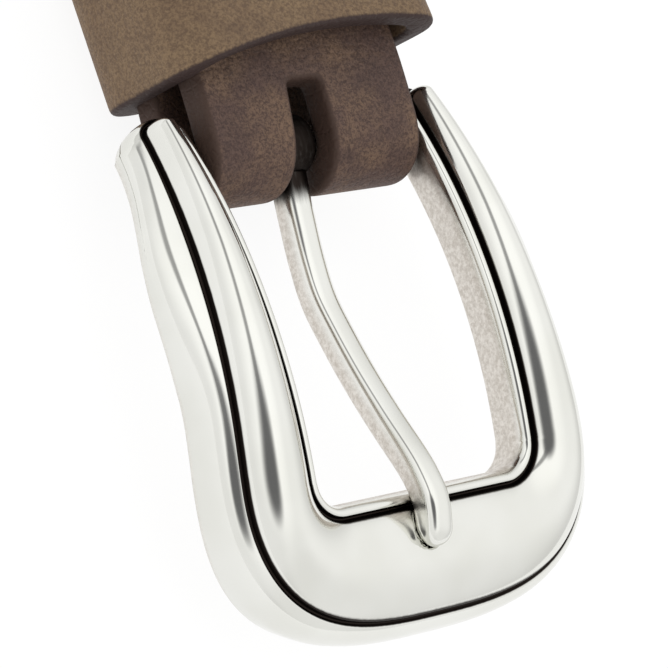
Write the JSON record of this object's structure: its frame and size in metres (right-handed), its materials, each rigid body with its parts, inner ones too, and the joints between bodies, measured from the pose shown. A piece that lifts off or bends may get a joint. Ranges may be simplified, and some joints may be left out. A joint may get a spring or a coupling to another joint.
{
  "type": "belt buckle",
  "caption": "Heel-bar belt buckle with a bowed, beaded D-shaped frame and an S-curved prong, on a slotted leather chape with a keeper loop.",
  "frame": {"origin": "middle of the part's outline on the plane the keeper's underside lies on", "axes": "+X along the heel bar, -Y toward the tip of the buckle, +Y along the strap, +Z out of the buckle's face"},
  "size_m": [0.0542, 0.0986, 0.0216],
  "materials": {
    "silver": "polished antique silver plate",
    "steel": "drawn wire and pressed sheet",
    "fold_leather": "brown nubuck, 4 mm",
    "keeper_leather": "tan nubuck, 3.5 mm"
  },
  "bodies": {
    "strap": {"strap_fold": "fold_leather", "rivet_post_1": "steel", "rivet_cap_1": "steel", "rivet_post_2": "steel", "rivet_cap_2": "steel"},
    "keeper_loop": {"keeper": "keeper_leather", "keeper_staple_1": "steel", "keeper_staple_2": "steel"},
    "buckle": {"frame": "silver", "heel_bar": "steel"},
    "tongue": {"prong": "silver"}
  },
  "joints": [
    {"name": "buckle_hinge", "type": "hinge", "parent": "strap", "child": "buckle", "pos_m": [0, 0.00732, 0.0101], "axis": [-1, 0, 0], "range_deg": [-20, 35]},
    {"name": "prong_hinge", "type": "hinge", "parent": "buckle", "child": "tongue", "pos_m": [0, 0.00732, 0.0101], "axis": [-1, 0, 0], "range_deg": [0, 85]},
    {"name": "keeper_slide", "type": "slide", "parent": "strap", "child": "keeper_loop", "axis": [0, 1, 0], "range_m": [0, 0.0015]}
  ]
}
